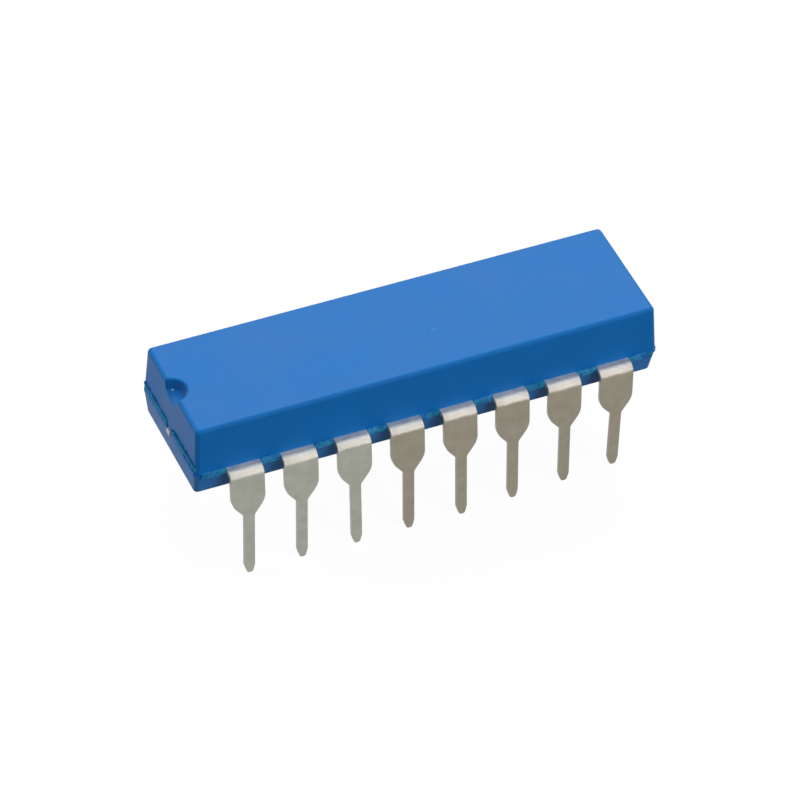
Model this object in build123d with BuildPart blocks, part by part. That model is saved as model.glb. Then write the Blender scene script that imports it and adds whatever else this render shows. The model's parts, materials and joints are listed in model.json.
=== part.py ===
from build123d import *
import math
import os

# Lead rows
pins_per_row = 8
pin_pitch = 2.54
lead_thickness = 0.25
shoulder_width = 1.60
pin_width = 0.49
shoulder_drop = 2.33  # lead plane to the neck, where the pin becomes parallel
taper_height = 0.72
shoulder_round = 1.0
neck_round = 0.25
pin_length = 3.19  # neck to tip
tip_length = 0.4
tip_flat = 0.26
tip_round = 0.3
tip_corner_round = 0.14
bend_inner_radius = 0.15
lead_stand_out = 0.61  # side of the moulding to the outer face of a row

# How far each tip lies outside its bend, how much lower than the rest its taper lies, and how far its neck
# and its tip stand off along the row
front_splay = (0.50, 0.45, 0.52, 0.51, 0.56, 0.43, 0.27, 0.10)
front_taper_drop = (0.01, 0.02, -0.04, 0.05, 0.02, 0.05, 0.09, 0.13)
front_neck_shift = (0.02, 0.0, 0.0, 0.02, 0.02, 0.02, 0.05, 0.05)
front_tip_shift = (-0.06, -0.06, -0.01, -0.02, -0.02, -0.01, 0.03, -0.01)
back_splay = max(front_splay)
back_drop = 0.0
back_shift = 0.0

# Moulding
end_margin = 2.19  # centre of an outer lead to the end of the moulding
body_width = 6.40
upper_height = 2.46
lower_height = 1.25
upper_side_inset = 0.22
upper_end_inset = 0.09
lower_side_inset = 0.32
lower_end_inset = 0.08
corner_round = 0.22
upper_edge_round = 0.19
lower_edge_round = 0.16
mould_shift = 0.04  # mismatch of the two mould halves along the body
notch_radius = 0.75
notch_foot_radius = 0.58
notch_wall = 0.42
notch_depth = 0.54
notch_round = 0.10
flash_corner_gap = 0.22
side_flash = (0.09, 0.13, 0.11, 0.14, 0.10, 0.12, 0.13, 0.10, 0.07)
flash_break = ((0, 0.8), (0.40, 1), (0.47, 0.7), (0.62, 1), (1, 0.9))  # shares of a web's length and of its reach
end_flash = 0.05
end_patch_length = 1.3
end_patch_height = 0.17
end_patch_start = 0.18

# Tie bar ends of the lead frame
stub_width = 0.32
stub_inside = 1.1
stub_proud = 0.04

# Ceramic substrate with its printed films, film side down
side_cover = 0.9  # moulding beside the substrate
substrate_end_margin = 1.2  # centre of an outer lead to the end of the substrate
substrate_thickness = 0.635
conductor_thickness = 0.02
conductor_edge_gap = 0.1
land_width = 1.3
land_length = 1.0
finger_width = 1.0
film_thickness = 0.03
film_width = 1.3
film_gap = 1.3  # bare length between the two conductors of an element
film_lap = 0.25
trim_width = 0.06
trim_offset = 0.2
trim_depths = (0.52, 0.44, 0.60, 0.38, 0.56, 0.48, 0.63, 0.41)
trim_runs = (0.35, 0.42, 0.25, 0.38, 0.30, 0.44, 0.22, 0.33)
glaze_cover = 0.03
glaze_margin = 0.12

# Lead tabs soldered under the conductor lands
tab_width = 0.9
tab_lap = 0.75
tab_inside = 0.35  # full width of the lead inside the moulding
solder_gap = 0.06
solder_margin = 0.15
solder_climb = 0.12  # height of the solder fillet up the side of a tab
solder_taper = 30

# Derived places
row_span = (pins_per_row - 1) * pin_pitch
row_places = [i * pin_pitch - row_span / 2 for i in range(pins_per_row)]
body_length = row_span + 2 * end_margin
parting_z = shoulder_drop + pin_length
top_z = parting_z + upper_height
frame_top = parting_z + lead_thickness / 2
frame_bottom = parting_z - lead_thickness / 2
land_z = frame_top + solder_gap
film_side_z = land_z + conductor_thickness
substrate_width = body_width - 2 * side_cover
substrate_length = row_span + 2 * substrate_end_margin
tab_end_y = substrate_width / 2 - tab_lap
bend_radius = bend_inner_radius + lead_thickness / 2
leg_y = body_width / 2 + lead_stand_out - lead_thickness / 2
bend_y = leg_y - bend_radius
dish_depth = notch_depth - notch_wall
dish_radius = (notch_foot_radius**2 + dish_depth**2) / (2 * dish_depth)

os.makedirs("parts", exist_ok=True)


def write(part, label):
    """Label a finished piece and write it under the same name."""
    part.label = label
    export_step(part, f"parts/{label}.step")
    print(label, round(part.volume, 4))


def make_lead(x, side, splay, taper_drop, neck_shift, tip_shift):
    """One stamped lead: inner tab, stub through the moulding, bend, shoulder, pin and tip."""
    tip_y = leg_y + splay
    run = tip_y - bend_y
    drop = parting_z - bend_radius
    angle = math.atan2(run, drop) - math.asin(bend_radius / math.hypot(run, drop))
    leg = math.sqrt(run**2 + drop**2 - bend_radius**2)
    along = Vector(math.sin(angle), -math.cos(angle)) * (leg + lead_thickness)
    bend_centre = Vector(bend_y, parting_z - bend_radius)
    with BuildPart() as lead:
        # Side profile of the strip, bent down by a right angle less the splay
        with BuildSketch(Plane.YZ.offset(x)):
            with BuildLine():
                top = Line((tab_end_y, frame_top), (bend_y, frame_top))
                outer = CenterArc(bend_centre, bend_radius + lead_thickness / 2, 90, math.degrees(angle) - 90)
                outer_leg = Line(outer @ 1, outer @ 1 + along)
                bottom = Line((tab_end_y, frame_bottom), (bend_y, frame_bottom))
                inner = CenterArc(bend_centre, bend_inner_radius, 90, math.degrees(angle) - 90)
                inner_leg = Line(inner @ 1, inner @ 1 + along)
                Line(top @ 0, bottom @ 0)
                Line(outer_leg @ 1, inner_leg @ 1)
            make_face()
        extrude(amount=shoulder_width / 2, both=True)
        # Front outline: shoulder, taper, pin and rounded tip
        neck_z = pin_length - taper_drop
        shoulder_z = neck_z + taper_height
        with BuildSketch(Plane.XZ) as outline:
            with BuildLine():
                right = Polyline(
                    (x + tip_shift + tip_flat / 2, 0),
                    (x + tip_shift + pin_width / 2, tip_length),
                    (x + neck_shift + pin_width / 2, neck_z),
                    (x + shoulder_width / 2, shoulder_z),
                    (x + shoulder_width / 2, top_z),
                )
                left = Polyline(
                    (x + tip_shift - tip_flat / 2, 0),
                    (x + tip_shift - pin_width / 2, tip_length),
                    (x + neck_shift - pin_width / 2, neck_z),
                    (x - shoulder_width / 2, shoulder_z),
                    (x - shoulder_width / 2, top_z),
                )
                Line(left @ 0, right @ 0)
                Line(left @ 1, right @ 1)
            make_face()
            # From the shoulder down, so that the corners below keep their place in the order
            corner_rounds = (tip_corner_round, tip_round, neck_round, shoulder_round)
            for level in reversed(range(len(corner_rounds))):
                fillet(outline.vertices().group_by(Axis.Y)[level], corner_rounds[level])
        extrude(amount=body_width, both=True, mode=Mode.INTERSECT)
        # The tab inside the moulding is narrower than the stub
        tab_side = (shoulder_width - tab_width) / 2
        tab_run = body_width / 2 - tab_inside - tab_end_y
        for sign in (-1, 1):
            with Locations((x + sign * (tab_width + tab_side) / 2, tab_end_y + tab_run / 2, parting_z)):
                Box(tab_side, tab_run, 2 * lead_thickness, mode=Mode.SUBTRACT)
        if side < 0:
            mirror(about=Plane.XZ, mode=Mode.REPLACE)
    return lead.part


def make_conductor_print():
    """All the printed conductors: a land for each lead with a finger to its resistor film."""
    with BuildPart() as conductors:
        with BuildSketch(Plane.XY.offset(land_z)):
            for side in (-1, 1):
                land_y = side * (substrate_width / 2 - conductor_edge_gap - land_length / 2)
                finger_end = film_gap / 2
                finger_length = substrate_width / 2 - conductor_edge_gap - land_length / 2 - finger_end
                with Locations([(x, land_y) for x in row_places]):
                    Rectangle(land_width, land_length)
                with Locations([(x, side * (finger_end + finger_length / 2)) for x in row_places]):
                    Rectangle(finger_width, finger_length)
        extrude(amount=conductor_thickness)
    return conductors.part


def make_resistor(x, trim_depth, trim_run):
    """One resistor film that laps both conductors, with its laser trim cut."""
    step = film_gap / 2
    end = step + film_lap
    low = film_side_z - film_thickness
    with BuildPart() as film:
        with BuildSketch(Plane.YZ.offset(x)):
            with BuildLine():
                Polyline(
                    (-step, film_side_z),
                    (step, film_side_z),
                    (step, land_z),
                    (end, land_z),
                    (end, land_z - film_thickness),
                    (step - film_thickness, land_z - film_thickness),
                    (step - film_thickness - conductor_thickness, low),
                    (film_thickness + conductor_thickness - step, low),
                    (film_thickness - step, land_z - film_thickness),
                    (-end, land_z - film_thickness),
                    (-end, land_z),
                    (-step, land_z),
                    close=True,
                )
            make_face()
        extrude(amount=film_width / 2, both=True)
        # The laser cuts in from one side and then turns along the film
        with BuildSketch(Plane.XY.offset(land_z - film_thickness)):
            with Locations((x + (film_width - trim_depth) / 2, -trim_offset)):
                Rectangle(trim_depth, trim_width)
            with Locations((x + film_width / 2 - trim_depth, (trim_run - trim_width) / 2 - trim_offset)):
                Rectangle(trim_width, trim_run)
        extrude(amount=film_thickness + conductor_thickness, mode=Mode.SUBTRACT)
    return film.part


def make_overglaze(inner_pieces):
    """The glass printed over the row of resistor films."""
    depth = conductor_thickness + film_thickness + glaze_cover
    with BuildPart() as glaze:
        with BuildSketch(Plane.XY.offset(film_side_z - depth)):
            Rectangle(row_span + film_width + 2 * glaze_margin, film_gap + 2 * film_lap + 2 * glaze_margin)
        extrude(amount=depth)
        for piece in inner_pieces:
            add(piece, mode=Mode.SUBTRACT)
    return glaze.part


def make_solder(x, side, lead):
    """Solder between a land and its tab, climbing the sides of the tab."""
    length = tab_lap + solder_margin - conductor_edge_gap
    middle = substrate_width / 2 - conductor_edge_gap - length / 2
    with BuildPart() as solder:
        with BuildSketch(Plane.XY.offset(land_z)):
            with Locations((x, side * middle)):
                Rectangle(tab_width + 2 * solder_margin, length)
        extrude(amount=-(solder_gap + solder_climb), taper=solder_taper)
        add(lead, mode=Mode.SUBTRACT)
    return solder.part


def make_stub(end):
    """The cut end of a tie bar that held the moulding in its frame."""
    face = end * (body_length / 2 + end_flash + stub_proud)
    with BuildPart() as stub:
        length = stub_inside + end_flash + stub_proud
        with Locations((face - end * length / 2, 0, parting_z)):
            Box(length, stub_width, lead_thickness)
    return stub.part


def make_half(height, end_inset, side_inset, shift, edge_round):
    """One half of the moulding, tapered so that it leaves its mould, with rounded outer edges."""
    outer_z = parting_z + height
    with BuildPart() as half:
        # The side view tapers the two ends, and the end view tapers the two sides
        with BuildSketch(Plane.XZ):
            with BuildLine():
                Polyline(
                    (shift - body_length / 2, parting_z),
                    (shift + body_length / 2, parting_z),
                    (shift + body_length / 2 - end_inset, outer_z),
                    (shift - body_length / 2 + end_inset, outer_z),
                    close=True,
                )
            make_face()
        extrude(amount=body_width, both=True)
        with BuildSketch(Plane.YZ):
            with BuildLine():
                Polyline(
                    (-body_width / 2, parting_z),
                    (body_width / 2, parting_z),
                    (body_width / 2 - side_inset, outer_z),
                    (side_inset - body_width / 2, outer_z),
                    close=True,
                )
            make_face()
        extrude(amount=body_length, both=True, mode=Mode.INTERSECT)
        fillet(half.edges().group_by(Axis.Z)[1], corner_round)
        outer_level = -1 if height > 0 else 0
        fillet(half.edges().group_by(Axis.Z)[outer_level], edge_round)
    return half.part


def make_notch():
    """The hollow of the pin-one notch: a drafted round wall over a dished floor."""
    dish_spread = math.degrees(math.asin(notch_foot_radius / dish_radius))
    mouth_radius = 2 * notch_radius - notch_foot_radius  # the wall runs on as far above the top as below it
    with BuildPart() as notch:
        # Drawn on the outer side of the axis, so that its seam stays clear of the moulding
        with BuildSketch(Plane.XZ):
            with BuildLine():
                dish = CenterArc((0, top_z - notch_depth + dish_radius), dish_radius, -90, -dish_spread)
                wall = Line(dish @ 1, (-mouth_radius, top_z + notch_wall))
                Polyline(wall @ 1, (0, top_z + notch_wall), dish @ 0)
            make_face()
        revolve(axis=Axis.Z)
    return notch.part


def make_side_flash():
    """Resin webs that ran out between the leads as far as the dam bar, broken unevenly."""
    reach_end = body_length / 2 - flash_corner_gap
    cuts = [-reach_end] + row_places + [reach_end]
    with BuildPart() as flash:
        with BuildSketch(Plane.XY.offset(frame_bottom)):
            for side in (-1, 1):
                for left, right, reach in zip(cuts, cuts[1:], side_flash):
                    edge = [
                        (left + along * (right - left), side * (body_width / 2 + out * reach))
                        for along, out in flash_break
                    ]
                    with BuildLine():
                        Polyline((left, 0), *edge, (right, 0), close=True)
                    make_face()
        extrude(amount=lead_thickness)
    return flash.part


def make_end_flash():
    """The thin bead round the two ends at the parting plane, thicker beside the front of the left stub."""
    with BuildPart() as flash:
        with Locations((0, 0, parting_z)):
            Box(body_length + 2 * end_flash, body_width - 2 * flash_corner_gap, lead_thickness)
        with Locations((-body_length / 2, -end_patch_start - end_patch_length / 2, frame_top)):
            Box(2 * end_flash, end_patch_length, 2 * end_patch_height)
    return flash.part


def make_body(inserts):
    """The one-piece resin moulding, closed round everything it holds."""
    upper = make_half(upper_height, upper_end_inset, upper_side_inset, 0, upper_edge_round)
    lower = make_half(-lower_height, lower_end_inset, lower_side_inset, -mould_shift, lower_edge_round)
    with BuildPart() as body:
        add(upper)
        # Pin-one notch, centred on the edge of the left end; its own edges are the curved ones
        with Locations((upper_end_inset - body_length / 2, 0, 0)):
            add(make_notch(), mode=Mode.SUBTRACT)
        fillet(body.edges(Select.LAST).filter_by(GeomType.LINE, reverse=True), notch_round)
        for piece in (lower, make_side_flash(), make_end_flash()):
            add(piece)
        for piece in inserts:
            add(piece, mode=Mode.SUBTRACT)
    return body.part


# Leads one to eight run along the front from the notch, nine to sixteen back along the rear
leads = []
for x, *form in zip(row_places, front_splay, front_taper_drop, front_neck_shift, front_tip_shift):
    leads.append((x, -1, make_lead(x, -1, *form)))
for x in reversed(row_places):
    leads.append((x, 1, make_lead(x, 1, back_splay, back_drop, back_shift, back_shift)))

with BuildPart() as substrate:
    with BuildSketch(Plane.XY.offset(film_side_z)):
        Rectangle(substrate_length, substrate_width)
    extrude(amount=substrate_thickness)

conductors = make_conductor_print()
resistors = [make_resistor(x, depth, run) for x, depth, run in zip(row_places, trim_depths, trim_runs)]
overglaze = make_overglaze([conductors] + resistors)
solders = [make_solder(x, side, lead) for x, side, lead in leads]
stubs = {"left": make_stub(-1), "right": make_stub(1)}
inserts = [substrate.part, conductors, overglaze] + resistors + solders
inserts += [lead for _, _, lead in leads] + list(stubs.values())
body = make_body(inserts)

write(body, "moulded_body")
write(substrate.part, "ceramic_substrate")
write(conductors, "conductor_print")
write(overglaze, "overglaze")
for number, film in enumerate(resistors, 1):
    write(film, f"resistor_film_{number}")
for number, solder in enumerate(solders, 1):
    write(solder, f"solder_joint_{number}")
for number, (_, _, lead) in enumerate(leads, 1):
    write(lead, f"lead_{number}")
for name, stub in stubs.items():
    write(stub, f"tie_bar_stub_{name}")
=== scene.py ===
import json
import math
import bpy
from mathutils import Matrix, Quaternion, Vector


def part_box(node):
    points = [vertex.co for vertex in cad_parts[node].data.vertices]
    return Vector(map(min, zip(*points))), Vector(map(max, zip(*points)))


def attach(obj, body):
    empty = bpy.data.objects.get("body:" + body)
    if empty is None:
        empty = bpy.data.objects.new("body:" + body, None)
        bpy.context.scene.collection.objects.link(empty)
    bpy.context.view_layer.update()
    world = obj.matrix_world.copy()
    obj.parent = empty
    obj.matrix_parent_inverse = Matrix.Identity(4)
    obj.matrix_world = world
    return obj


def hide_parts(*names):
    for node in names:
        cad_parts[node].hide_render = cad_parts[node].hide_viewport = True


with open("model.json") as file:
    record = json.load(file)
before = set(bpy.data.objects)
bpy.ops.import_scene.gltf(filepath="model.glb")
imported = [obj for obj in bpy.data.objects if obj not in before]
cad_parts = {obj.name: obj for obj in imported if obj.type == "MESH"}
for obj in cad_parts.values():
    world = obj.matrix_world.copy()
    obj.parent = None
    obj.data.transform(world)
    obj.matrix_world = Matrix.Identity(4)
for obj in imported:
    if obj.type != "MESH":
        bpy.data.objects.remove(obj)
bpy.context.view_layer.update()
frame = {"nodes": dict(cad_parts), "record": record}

mm = 0.001

# Camera: it looks down on the notch end from the front left with a long lens
camera_azimuth = math.radians(-24.197)
camera_elevation = math.radians(42.848)
camera_roll = math.radians(1.714)
camera_distance = 251.24 * mm
camera_range = (10 * mm, 10.0)
lens_length = 253.43
sensor_width = 36.0
aim_right = -0.05 * mm
aim_up = -1.395 * mm

# Softboxes: direction from the part, size and the brightness that each shows as in a mirror
lamp_distance = 500 * mm
lamps = {
    "back_softbox": ((0.30, 0.67, 0.68), 260 * mm, 6.3),
    "left_softbox": ((-0.75, 0.50, 0.42), 300 * mm, 3.45),
    "right_softbox": ((0.55, -0.75, 0.35), 300 * mm, 1.1),
    "corner_softbox": ((-0.52, -0.80, 0.28), 300 * mm, 0.5),
    "high_softbox": ((0.30, -0.20, 0.93), 300 * mm, 1.65),
    "front_softbox": ((0.30, -0.57, 0.76), 220 * mm, 2.0),
    "low_softbox": ((0.30, -0.91, 0.27), 300 * mm, 1.8),
}
fill_brightness = 0.05

# Floor: its own paint is dim, and the rest of its white is for the camera and for reflections
floor_size = 4.0
floor_paint = 0.08
floor_lift = 0.95

# Leads: the tin rounds their stamped edges
lead_count = 16
tin_edge = 0.03 * mm
tin_edge_steps = 3
merge_distance = 0.0005 * mm
flat_angle = math.radians(1)  # facets that turn less lie in one face
stamped_angle = math.radians(50)  # edges that turn more were stamped
lead_smooth_angle = math.radians(40)

# Resin webs: what ran out between the leads and was broken off, so their faces are rough
side_y = 3.20 * mm  # side of the moulding at the parting plane
end_x = 11.08 * mm  # end of the moulding at the parting plane
web_reaches = (0.10, 0.14, 0.12, 0.15, 0.11, 0.13, 0.14, 0.11, 0.08)  # mm, from the notch end
web_root = 0.10 * mm  # depth of a web inside the moulding
web_corner_gap = 0.24 * mm  # end of the moulding to the outer webs
web_rise = 0.02 * mm  # top of a web over the top face of the strip
web_cell = 0.03 * mm
web_tears = {"chips": (0.22 * mm, 0.09 * mm), "grit": (0.06 * mm, 0.035 * mm)}  # size, height
web_smooth_angle = math.radians(25)

# Left end: the web there broke off higher, beside the tie bar's stub; y and z from and to, in mm
end_breaks = {
    "end_web_far": ((0.30, 3.00), (5.60, 5.98)),
    "end_web_near": ((-1.72, -0.42), (5.42, 6.01)),
    "end_web_corner": ((-3.05, -1.80), (5.69, 6.04)),
}
end_break_x = (-10.95 * mm, -11.115 * mm)

# Shared effects: the middle part of the noise that is used, and the share of a speck's and a chip's
# radius that has its full colour
noise_range = (0.3, 0.7)
speck_core = 0.5
chip_core = 0.4

# Moulded resin; colours are linear, a relief is its full height in mm
resin_colours = ((0.003, 0.171, 0.556, 1), (0.004, 0.189, 0.610, 1))
resin_specular = 0.10
resin_sheen = 0.20
resin_sheen_roughness = 0.4
resin_roughness = (0.40, 0.47)
resin_relief = 0.002
dust_colour = (0.30, 0.45, 0.70, 1)
dust_cover = 0.35
bright_spots = (  # centre and radius in mm, and colour of each bright spot
    ((-10.74, 0.46, 7.48), 0.10, (0.30, 0.55, 0.85, 1)),
    ((1.20, -0.60, 7.98), 0.09, (0.035, 0.28, 0.56, 1)),
    ((1.42, -0.60, 7.98), 0.08, (0.015, 0.23, 0.58, 1)),
)
ejector_marks = (((7.05, 0.76, 0), 1.43), ((-7.25, -0.50, 0), 1.40))  # centre and radius, mm
ejector_line = 0.03  # mm
ejector_colour = (0.10, 0.32, 0.80, 1)
ejector_cover = 0.05
top_skin = 0.02  # mm under the top face that still counts as the top

# Notch: painted shade makes its floor and its wall darker than the rest of the moulding
notch_centre = (-10.99, 0.0, 0.0)  # mm
notch_reach = 0.80  # mm, all of the notch lies nearer to its centre
notch_foot = (0.50, 0.56)  # mm, from the floor to the wall
notch_shade_tones = (0.87, 0.68)  # floor and wall, the tones of their painted shade
notch_end_gap = 0.02  # mm, keeps the painted shade off the end face
notch_lip = (0.02, 0.12)  # mm under the top face, where the painted shade comes in

# Torn resin: paler and rough, with chips
torn_specular = 0.04
torn_colours = ((0.014, 0.205, 0.440, 1), (0.060, 0.370, 0.700, 1))
torn_speck = (0.22, 0.50, 0.68, 1)
torn_speck_cover = 0.6
torn_roughness = (0.55, 0.85)
torn_relief = 0.02
torn_end_colours = ((0.036, 0.330, 0.640, 1), (0.075, 0.480, 0.860, 1))
torn_end_chips = (  # centre and radius in mm, and colour
    ((-11.10, -1.76, 5.80), 0.11, (0.55, 0.85, 0.95, 1)),
    ((-11.10, 0.34, 6.02), 0.08, (0.30, 0.65, 0.85, 1)),
)
torn_rim_shadow = (0.010, 0.170, 0.420, 1)
torn_rim_shadow_start = (5.93 * mm, 5.98 * mm)  # from here up a break is undercut, and its shadow there is painted dark
torn_rim_shadow_wander = 0.04 * mm

# Tin: a painted highlight makes it brighter on the bend and on the flat before it
tin_cool = (0.318, 0.318, 0.274, 1)
tin_warm = (0.260, 0.236, 0.186, 1)
tin_turn = (-3.1 * mm, -1.9 * mm)  # where along the row the tin turns from cool to warm
tin_bend = (-0.09 * mm, -0.02 * mm)  # over the lead plane, from the leg to the bend
tin_bend_wander = 0.10 * mm
tin_flat = (0.03 * mm, 0.11 * mm)  # over the lead plane, from the bend to the flat
tin_bend_highlight = (0.375, 0.352, 0.318, 1)
tin_flat_highlight = (0.52, 0.52, 0.51, 1)
tin_shades = (0.94, 1.06)
tin_pit = (0.16, 0.15, 0.14, 1)
tin_pit_cover = 0.35
tin_roughness = (0.30, 0.44, 0.54)  # leg, bend and flat
tin_roughness_drift = 0.10
tin_wave_share = 4.0  # height of the slow waves to that of the grain
tin_relief = 0.003

# Layers inside the moulding, each a material slot; grain is the fine and the slow size in mm
fired_layers = {
    "alumina": dict(
        colours=((0.80, 0.79, 0.74, 1), (0.90, 0.89, 0.85, 1)),
        roughness=(0.55, 0.70), grain=(0.03, 1.2), relief=0.002, metallic=0.0),
    "conductor_ink": dict(
        colours=((0.55, 0.53, 0.48, 1), (0.68, 0.66, 0.60, 1)),
        roughness=(0.30, 0.45), grain=(0.05, 0.6), relief=0.003, metallic=1.0),
    "overglaze": dict(
        colours=((0.07, 0.24, 0.15, 1), (0.12, 0.34, 0.23, 1)),
        roughness=(0.08, 0.18), grain=(0.25, 1.5), relief=0.004, metallic=0.0),
    "resistor_ink": dict(
        colours=((0.045, 0.045, 0.05, 1), (0.075, 0.075, 0.08, 1)),
        roughness=(0.35, 0.5), grain=(0.04, 0.5), relief=0.003, metallic=0.0),
    "solder": dict(
        colours=((0.66, 0.66, 0.67, 1), (0.78, 0.78, 0.77, 1)),
        roughness=(0.22, 0.38), grain=(0.06, 0.35), relief=0.003, metallic=1.0),
}


def lead_plane():
    """The middle of the parting plane, which the leads leave the moulding in."""
    low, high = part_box("tie_bar_stub_left")
    return Vector((0, 0, (low.z + high.z) / 2))


def set_camera():
    """A long lens at the photograph's angle, aimed a little under the lead plane."""
    back = Vector((
        math.sin(camera_azimuth) * math.cos(camera_elevation),
        -math.cos(camera_azimuth) * math.cos(camera_elevation),
        math.sin(camera_elevation),
    ))
    turn = back.to_track_quat("Z", "Y") @ Quaternion((0, 0, 1), camera_roll)
    aim = lead_plane() + turn @ Vector((aim_right, aim_up, 0))
    data = bpy.data.cameras.new("camera")
    data.lens = lens_length
    data.sensor_width = sensor_width
    data.clip_start, data.clip_end = camera_range
    camera = bpy.data.objects.new("camera", data)
    bpy.context.scene.collection.objects.link(camera)
    camera.rotation_mode = "QUATERNION"
    camera.rotation_quaternion = turn
    camera.location = aim + back * camera_distance
    bpy.context.scene.camera = camera


def add_lamp(name, towards, size, brightness):
    """A square softbox that faces the part; brightness is what it shows as in a mirror."""
    data = bpy.data.lights.new(name, "AREA")
    data.shape = "SQUARE"
    data.size = size
    data.energy = brightness * math.pi * size**2
    lamp = bpy.data.objects.new(name, data)
    bpy.context.scene.collection.objects.link(lamp)
    direction = Vector(towards).normalized()
    lamp.location = lead_plane() + direction * lamp_distance
    lamp.rotation_mode = "QUATERNION"
    lamp.rotation_quaternion = direction.to_track_quat("Z", "Y")


def add_node(tree, kind, inputs=None, **settings):
    """A node with its settings, its sockets set to values or linked from other sockets."""
    node = tree.nodes.new(kind)
    for name, value in settings.items():
        setattr(node, name, value)
    for name, value in (inputs or {}).items():
        if isinstance(value, bpy.types.NodeSocket):
            tree.links.new(value, node.inputs[name])
        else:
            node.inputs[name].default_value = value
    return node


def compute(tree, operation, *values):
    """What one operation makes of numbers and sockets."""
    node = add_node(tree, "ShaderNodeMath", dict(enumerate(values)), operation=operation)
    return node.outputs[0]


def spread(tree, value, start=0.0, end=1.0, low=0.0, high=1.0):
    """The part of the way that a value has gone from start to end, from low up to high."""
    way = {"Value": value, "From Min": start, "From Max": end, "To Min": low, "To Max": high}
    return add_node(tree, "ShaderNodeMapRange", way).outputs["Result"]


def mix(tree, factor, first, second):
    """A colour between two others."""
    node = add_node(tree, "ShaderNodeMix", {0: factor, 6: first, 7: second}, data_type="RGBA")
    return node.outputs[2]


def shade(tree, colour, value):
    """A colour made darker or brighter."""
    return add_node(tree, "ShaderNodeHueSaturation", {"Color": colour, "Value": value}).outputs[0]


def split(tree, place):
    """The X, Y and Z of a place."""
    return add_node(tree, "ShaderNodeSeparateXYZ", {0: place}).outputs


def scale(tree, place, factor):
    """A place with each of its measures times a factor."""
    inputs = {0: place, "Scale": factor}
    return add_node(tree, "ShaderNodeVectorMath", inputs, operation="SCALE").outputs[0]


def distance(tree, place, centre):
    """How far a place is from a centre, in the unit that both are given in."""
    node = add_node(tree, "ShaderNodeVectorMath", {0: place, 1: centre}, operation="DISTANCE")
    return node.outputs["Value"]


def axis_distance(tree, place, centre):
    """How many millimetres a place is from the upright line through a centre."""
    per_mm = (1 / mm, 1 / mm, 0)
    flat = add_node(tree, "ShaderNodeVectorMath", {0: place, 1: per_mm}, operation="MULTIPLY")
    return distance(tree, flat.outputs[0], centre)


def background_mask(tree):
    """One for rays from the camera, a gloss or a clear body, and nought for light on things."""
    rays = tree.nodes.new("ShaderNodeLightPath").outputs
    seen = compute(tree, "MAXIMUM", rays["Is Camera Ray"], rays["Is Glossy Ray"])
    return compute(tree, "MAXIMUM", seen, rays["Is Transmission Ray"])


def set_world():
    """A plain white surround that gives a gentle fill."""
    world = bpy.data.worlds.new("surround")
    world.use_nodes = True
    tree = world.node_tree
    background = tree.nodes["Background"]
    background.inputs["Color"].default_value = (1, 1, 1, 1)
    level = spread(tree, background_mask(tree), low=fill_brightness)
    tree.links.new(level, background.inputs["Strength"])
    world.cycles.sampling_method = "NONE"
    bpy.context.scene.world = world


def add_floor():
    """A plain white table that keeps a faint shadow."""
    bpy.ops.mesh.primitive_plane_add(size=floor_size, location=(0, 0, 0))
    floor = bpy.context.object
    floor.name = "floor"
    material = bpy.data.materials.new("floor_white")
    material.use_nodes = True
    tree = material.node_tree
    tree.nodes.remove(tree.nodes["Principled BSDF"])
    colour = (floor_paint, floor_paint, floor_paint, 1)
    paint = add_node(tree, "ShaderNodeBsdfDiffuse", {"Color": colour})
    lift = compute(tree, "MULTIPLY", background_mask(tree), floor_lift)
    glow = add_node(tree, "ShaderNodeEmission", {"Strength": lift})
    both = add_node(tree, "ShaderNodeAddShader", {0: paint.outputs[0], 1: glow.outputs[0]})
    tree.links.new(both.outputs[0], tree.nodes["Material Output"].inputs["Surface"])
    material.cycles.emission_sampling = "NONE"
    floor.data.materials.append(material)


def start_group(name, inputs, outputs):
    """An empty shader node group with its named sockets."""
    group = bpy.data.node_groups.new(name, "ShaderNodeTree")
    for label in inputs:
        kind = "NodeSocketVector" if label in ("Place", "Centre") else "NodeSocketFloat"
        group.interface.new_socket(label, in_out="INPUT", socket_type=kind)
    for label in outputs:
        group.interface.new_socket(label, in_out="OUTPUT", socket_type="NodeSocketFloat")
    given = group.nodes.new("NodeGroupInput").outputs
    result = group.nodes.new("NodeGroupOutput").inputs
    return group, given, result


def stepped_place(tree, place, size):
    """The place on the piece, measured in steps of so many millimetres."""
    return scale(tree, place, compute(tree, "DIVIDE", 1 / mm, size))


def make_grain_group():
    """Fine grain and slow drift over a surface, each with its own size."""
    group, given, result = start_group(
        "surface_grain", ("Place", "Grain Size", "Drift Size"), ("Grain", "Drift"))
    for output, detail in (("Grain", 2.0), ("Drift", 3.0)):
        place = stepped_place(group, given["Place"], given[f"{output} Size"])
        inputs = {"Vector": place, "Scale": 1.0, "Detail": detail}
        noise = add_node(group, "ShaderNodeTexNoise", inputs).outputs[0]
        group.links.new(spread(group, noise, *noise_range), result[output])
    return group


def make_speck_group():
    """Scattered round specks: one in each cell of a share of the cells."""
    group, given, result = start_group(
        "scattered_specks", ("Place", "Spacing", "Reach", "Share"), ("Specks",))
    place = stepped_place(group, given["Place"], given["Spacing"])
    cells = add_node(group, "ShaderNodeTexVoronoi", {"Vector": place, "Scale": 1.0}).outputs
    ratio = compute(group, "DIVIDE", cells["Distance"], given["Reach"])
    near = spread(group, ratio, 1.0, speck_core)
    chance = add_node(group, "ShaderNodeSeparateColor", {0: cells["Color"]}).outputs[0]
    chosen = compute(group, "LESS_THAN", chance, given["Share"])
    group.links.new(compute(group, "MULTIPLY", near, chosen), result["Specks"])
    return group


def make_chip_group():
    """One round chip, bright in the middle, at a place and with a radius in millimetres."""
    group, given, result = start_group("single_chip", ("Place", "Centre", "Radius"), ("Chip",))
    away = distance(group, scale(group, given["Place"], 1 / mm), given["Centre"])
    ratio = compute(group, "DIVIDE", away, given["Radius"])
    group.links.new(spread(group, ratio, 1.0, chip_core), result["Chip"])
    return group


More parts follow.
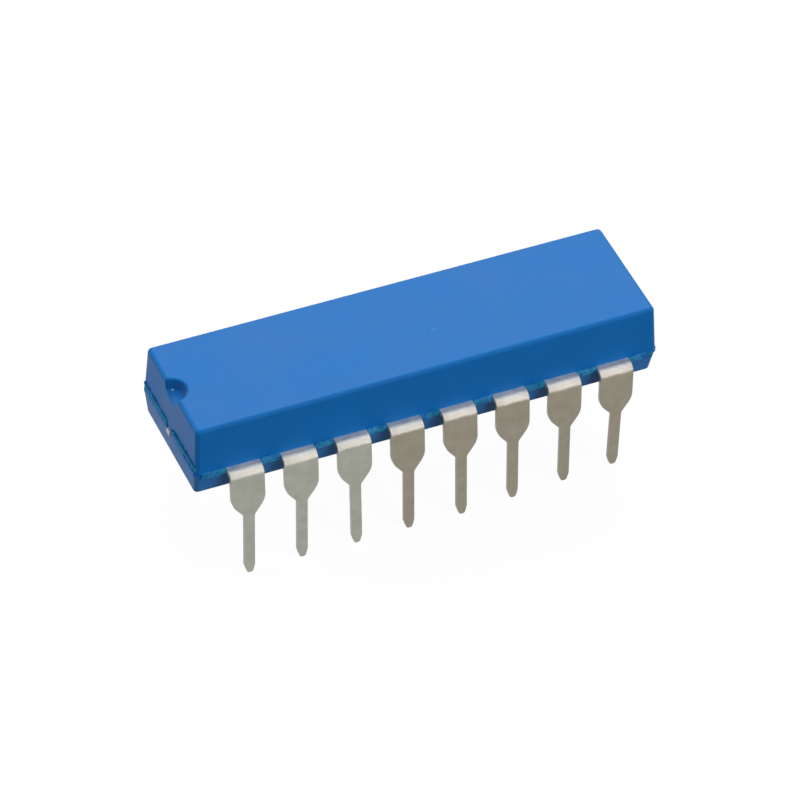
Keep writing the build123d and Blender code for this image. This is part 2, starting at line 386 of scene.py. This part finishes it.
def start_material(name, **constants):
    """A material with its Principled shader, its constants and the place on the piece."""
    material = bpy.data.materials.new(name)
    material.use_nodes = True
    tree = material.node_tree
    shader = tree.nodes["Principled BSDF"]
    for label, value in constants.items():
        shader.inputs[label.replace("_", " ")].default_value = value
    place = tree.nodes.new("ShaderNodeTexCoord").outputs["Object"]
    return material, tree, shader, place


def use_group(tree, group, **inputs):
    """A shared effect placed in a material with its own values."""
    values = {label.replace("_", " "): value for label, value in inputs.items()}
    return add_node(tree, "ShaderNodeGroup", values, node_tree=group).outputs


def finish_surface(tree, shader, colour, roughness, height, relief):
    """Give the shader its colour, its roughness and a relief of so many millimetres."""
    bump = add_node(tree, "ShaderNodeBump", {"Height": height, "Distance": relief * mm})
    tree.links.new(colour, shader.inputs["Base Color"])
    tree.links.new(roughness, shader.inputs["Roughness"])
    tree.links.new(bump.outputs["Normal"], shader.inputs["Normal"])


def add_chips(tree, group, place, chips, colour):
    """The colour with each listed chip painted over it."""
    for centre, radius, paint in chips:
        chip = use_group(tree, group, Place=place, Centre=centre, Radius=radius)["Chip"]
        colour = mix(tree, chip, colour, paint)
    return colour


def notch_painted_shade(tree, place):
    """The tone of the moulding, with painted shade on the notch's floor and more of it on its wall.
    """
    spot = split(tree, place)
    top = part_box("moulded_body")[1].z
    floor_shade, wall_shade = (1 - tone for tone in notch_shade_tones)
    away = axis_distance(tree, place, notch_centre)
    shade_amount = spread(tree, away, *notch_foot, floor_shade, wall_shade)
    masks = (
        compute(tree, "LESS_THAN", away, notch_reach),
        compute(tree, "GREATER_THAN", spot["X"], (notch_centre[0] + notch_end_gap) * mm),
        spread(tree, spot["Z"], *(top - depth * mm for depth in notch_lip)),
    )
    for mask in masks:
        shade_amount = compute(tree, "MULTIPLY", shade_amount, mask)
    return compute(tree, "SUBTRACT", 1.0, shade_amount)


def ejector_rings(tree, place):
    """The faint rings that the ejector pins left on the top face."""
    rings = 0.0
    for centre, radius in ejector_marks:
        away = axis_distance(tree, place, centre)
        ring = compute(tree, "COMPARE", away, radius, ejector_line)
        rings = compute(tree, "MAXIMUM", rings, ring)
    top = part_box("moulded_body")[1].z - top_skin * mm
    on_top = compute(tree, "GREATER_THAN", split(tree, place)["Z"], top)
    return compute(tree, "MULTIPLY", rings, on_top)


def moulded_resin(grain, specks, chip):
    """Blue moulding compound, matt from the mould, with a grey bloom at a glance."""
    material, tree, shader, place = start_material(
        "moulded_resin", Specular_IOR_Level=resin_specular,
        Sheen_Weight=resin_sheen, Sheen_Roughness=resin_sheen_roughness)
    surface = use_group(tree, grain, Place=place, Grain_Size=0.16, Drift_Size=2.6)
    dust = use_group(tree, specks, Place=place, Spacing=1.9, Reach=0.022, Share=0.10)["Specks"]
    rings = compute(tree, "MULTIPLY", ejector_rings(tree, place), ejector_cover)
    colour = mix(tree, surface["Drift"], *resin_colours)
    colour = mix(tree, rings, colour, ejector_colour)
    colour = mix(tree, compute(tree, "MULTIPLY", dust, dust_cover), colour, dust_colour)
    # painted shade on the notch's floor and wall
    colour = shade(tree, colour, notch_painted_shade(tree, place))
    colour = add_chips(tree, chip, place, bright_spots, colour)
    roughness = spread(tree, surface["Drift"], low=resin_roughness[0], high=resin_roughness[1])
    finish_surface(tree, shader, colour, roughness, surface["Grain"], resin_relief)
    return material


def torn_resin(name, grain, specks, chip, colours, bright):
    """The same compound where it broke: paler, rough and full of chips."""
    material, tree, shader, place = start_material(name, Specular_IOR_Level=torn_specular)
    surface = use_group(tree, grain, Place=place, Grain_Size=0.10, Drift_Size=0.55)
    chips = use_group(tree, specks, Place=place, Spacing=0.13, Reach=0.32, Share=0.22)["Specks"]
    height = split(tree, place)["Z"]
    ragged = compute(tree, "MULTIPLY_ADD", surface["Grain"], torn_rim_shadow_wander, height)
    colour = mix(tree, surface["Drift"], *colours)
    colour = mix(tree, compute(tree, "MULTIPLY", chips, torn_speck_cover), colour, torn_speck)
    # painted shadow along the undercut top of a break
    colour = mix(tree, spread(tree, ragged, *torn_rim_shadow_start), colour, torn_rim_shadow)
    colour = add_chips(tree, chip, place, bright, colour)
    roughness = spread(tree, surface["Grain"], low=torn_roughness[0], high=torn_roughness[1])
    finish_surface(tree, shader, colour, roughness, surface["Grain"], torn_relief)
    return material


def tinned_strip(grain, specks):
    """Matt tin over copper alloy, cool at the notch end and warmer along the row."""
    material, tree, shader, place = start_material("tinned_strip", Metallic=1.0)
    surface = use_group(tree, grain, Place=place, Grain_Size=0.07, Drift_Size=0.45)
    pits = use_group(tree, specks, Place=place, Spacing=0.45, Reach=0.10, Share=0.25)["Specks"]
    spot = split(tree, place)
    plane = lead_plane().z
    ragged = compute(tree, "MULTIPLY_ADD", surface["Drift"], tin_bend_wander, spot["Z"])
    bend = spread(tree, ragged, *(plane + height for height in tin_bend))
    flat = spread(tree, spot["Z"], *(plane + height for height in tin_flat))

    colour = mix(tree, spread(tree, spot["X"], *tin_turn), tin_cool, tin_warm)
    # painted highlight on the bend and, brighter still, on the flat before it
    colour = mix(tree, bend, colour, tin_bend_highlight)
    colour = mix(tree, flat, colour, tin_flat_highlight)
    drift = spread(tree, surface["Drift"], low=tin_shades[0], high=tin_shades[1])
    colour = shade(tree, colour, drift)
    colour = mix(tree, compute(tree, "MULTIPLY", pits, tin_pit_cover), colour, tin_pit)

    leg_rough, bend_rough, flat_rough = tin_roughness
    rough = spread(tree, bend, low=leg_rough, high=bend_rough)
    rough = compute(tree, "MULTIPLY_ADD", flat, flat_rough - bend_rough, rough)
    rough = compute(tree, "MULTIPLY_ADD", surface["Drift"], tin_roughness_drift, rough)
    waves = compute(tree, "MULTIPLY_ADD", surface["Drift"], tin_wave_share, surface["Grain"])
    finish_surface(tree, shader, colour, rough, waves, tin_relief)
    return material


def fired_layer(name, group, colours, roughness, grain, relief, metallic):
    """A fired or reflowed layer inside the moulding, with its own tones, grain and relief."""
    material, tree, shader, place = start_material(name, Metallic=metallic)
    surface = use_group(tree, group, Place=place, Grain_Size=grain[0], Drift_Size=grain[1])
    colour = mix(tree, surface["Drift"], *colours)
    rough = spread(tree, surface["Grain"], low=roughness[0], high=roughness[1])
    finish_surface(tree, shader, colour, rough, surface["Grain"], relief)
    return material


def make_materials():
    """One finish for each slot of the record, and two for the torn resin."""
    grain, specks, chip = make_grain_group(), make_speck_group(), make_chip_group()
    groups = (grain, specks, chip)
    finishes = {
        "moulding_resin": moulded_resin(*groups),
        "torn_resin": torn_resin("torn_resin", *groups, torn_colours, ()),
        "torn_end_resin": torn_resin("torn_end_resin", *groups, torn_end_colours, torn_end_chips),
        "tinned_lead": tinned_strip(grain, specks),
    }
    for slot, layer in fired_layers.items():
        finishes[slot] = fired_layer(slot, grain, **layer)
    return finishes


def only(piece):
    """Select one piece and nothing else."""
    bpy.ops.object.select_all(action="DESELECT")
    piece.select_set(True)
    bpy.context.view_layer.objects.active = piece


def apply_modifiers(piece):
    """Make every modifier of a piece part of its mesh."""
    only(piece)
    for modifier in list(piece.modifiers):
        bpy.ops.object.modifier_apply(modifier=modifier.name)


def plate_lead(number, material):
    """A lead whose stamped edges are rounded by its tin."""
    bare = frame["nodes"][f"lead_{number}"]
    piece = bare.copy()
    piece.data = bare.data.copy()
    piece.name = f"plated_lead_{number}"
    bpy.context.scene.collection.objects.link(piece)
    piece.parent = None
    only(piece)
    bpy.ops.object.mode_set(mode="EDIT")
    bpy.ops.mesh.select_all(action="SELECT")
    bpy.ops.mesh.remove_doubles(threshold=merge_distance)
    bpy.ops.mesh.dissolve_limited(angle_limit=flat_angle)
    bpy.ops.object.mode_set(mode="OBJECT")
    edge = piece.modifiers.new("tin_edge", "BEVEL")
    edge.width = tin_edge
    edge.segments = tin_edge_steps
    edge.limit_method = "ANGLE"
    edge.angle_limit = stamped_angle
    edge.use_clamp_overlap = False
    apply_modifiers(piece)
    bpy.ops.object.shade_smooth_by_angle(angle=lead_smooth_angle)
    flats = piece.modifiers.new("flat_faces", "WEIGHTED_NORMAL")
    flats.keep_sharp = True
    apply_modifiers(piece)
    piece.data.materials.clear()
    piece.data.materials.append(material)
    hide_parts(bare.name)
    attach(piece, "root")


def make_tears():
    """The textures that tear a web, each with its height."""
    tears = {}
    for label, (size, height) in web_tears.items():
        texture = bpy.data.textures.new(f"web_{label}", "CLOUDS")
        texture.noise_scale = size
        texture.noise_depth = 1
        tears[label] = (texture, height)
    return tears


def break_web(name, low, high, tears, material):
    """One resin web between two corners, torn on all that stands out of the moulding."""
    middle = [(a + b) / 2 for a, b in zip(low, high)]
    size = [b - a for a, b in zip(low, high)]
    bpy.ops.mesh.primitive_cube_add(size=1, location=middle, scale=size)
    web = bpy.context.object
    web.name = name
    only(web)
    bpy.ops.object.transform_apply()
    cells = web.modifiers.new("cells", "REMESH")
    cells.mode = "VOXEL"
    cells.voxel_size = web_cell
    for label, (texture, height) in tears.items():
        tear = web.modifiers.new(label, "DISPLACE")
        tear.texture = texture
        tear.texture_coords = "LOCAL"
        tear.strength = height
    apply_modifiers(web)
    bpy.ops.object.shade_smooth_by_angle(angle=web_smooth_angle)
    web.data.materials.append(material)
    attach(web, "root")


def break_side_webs(tears, material):
    """The webs between the leads along both rows."""
    stub_low, stub_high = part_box("tie_bar_stub_left")
    boxes = [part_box(f"lead_{number}") for number in range(1, lead_count // 2 + 1)]
    lefts = [web_corner_gap - end_x] + [high.x for low, high in boxes]
    rights = [low.x for low, high in boxes] + [end_x - web_corner_gap]
    for side, row in ((-1, "front"), (1, "rear")):
        for count, (left, right, reach) in enumerate(zip(lefts, rights, web_reaches), 1):
            inner, outer = side * (side_y - web_root), side * (side_y + reach * mm)
            low = (left, min(inner, outer), stub_low.z)
            high = (right, max(inner, outer), stub_high.z + web_rise)
            break_web(f"{row}_web_{count}", low, high, tears, material)


def break_end_webs(tears, material):
    """The web that broke off higher on the notch end, on both sides of the stub."""
    for name, (across, up) in end_breaks.items():
        low = (end_break_x[1], across[0] * mm, up[0] * mm)
        high = (end_break_x[0], across[1] * mm, up[1] * mm)
        break_web(name, low, high, tears, material)


set_camera()
set_world()
for name, lamp in lamps.items():
    add_lamp(name, *lamp)
bpy.ops.object.select_all(action="DESELECT")
add_floor()

finishes = make_materials()
slots = {part["node"]: part["material_slot"] for part in frame["record"]["subparts"]}
for name, node in frame["nodes"].items():
    node.data.materials.clear()
    node.data.materials.append(finishes[slots[name]])
for number in range(1, lead_count + 1):
    plate_lead(number, finishes["tinned_lead"])
tears = make_tears()
break_side_webs(tears, finishes["torn_resin"])
break_end_webs(tears, finishes["torn_end_resin"])

bpy.context.scene.view_settings.view_transform = "Standard"
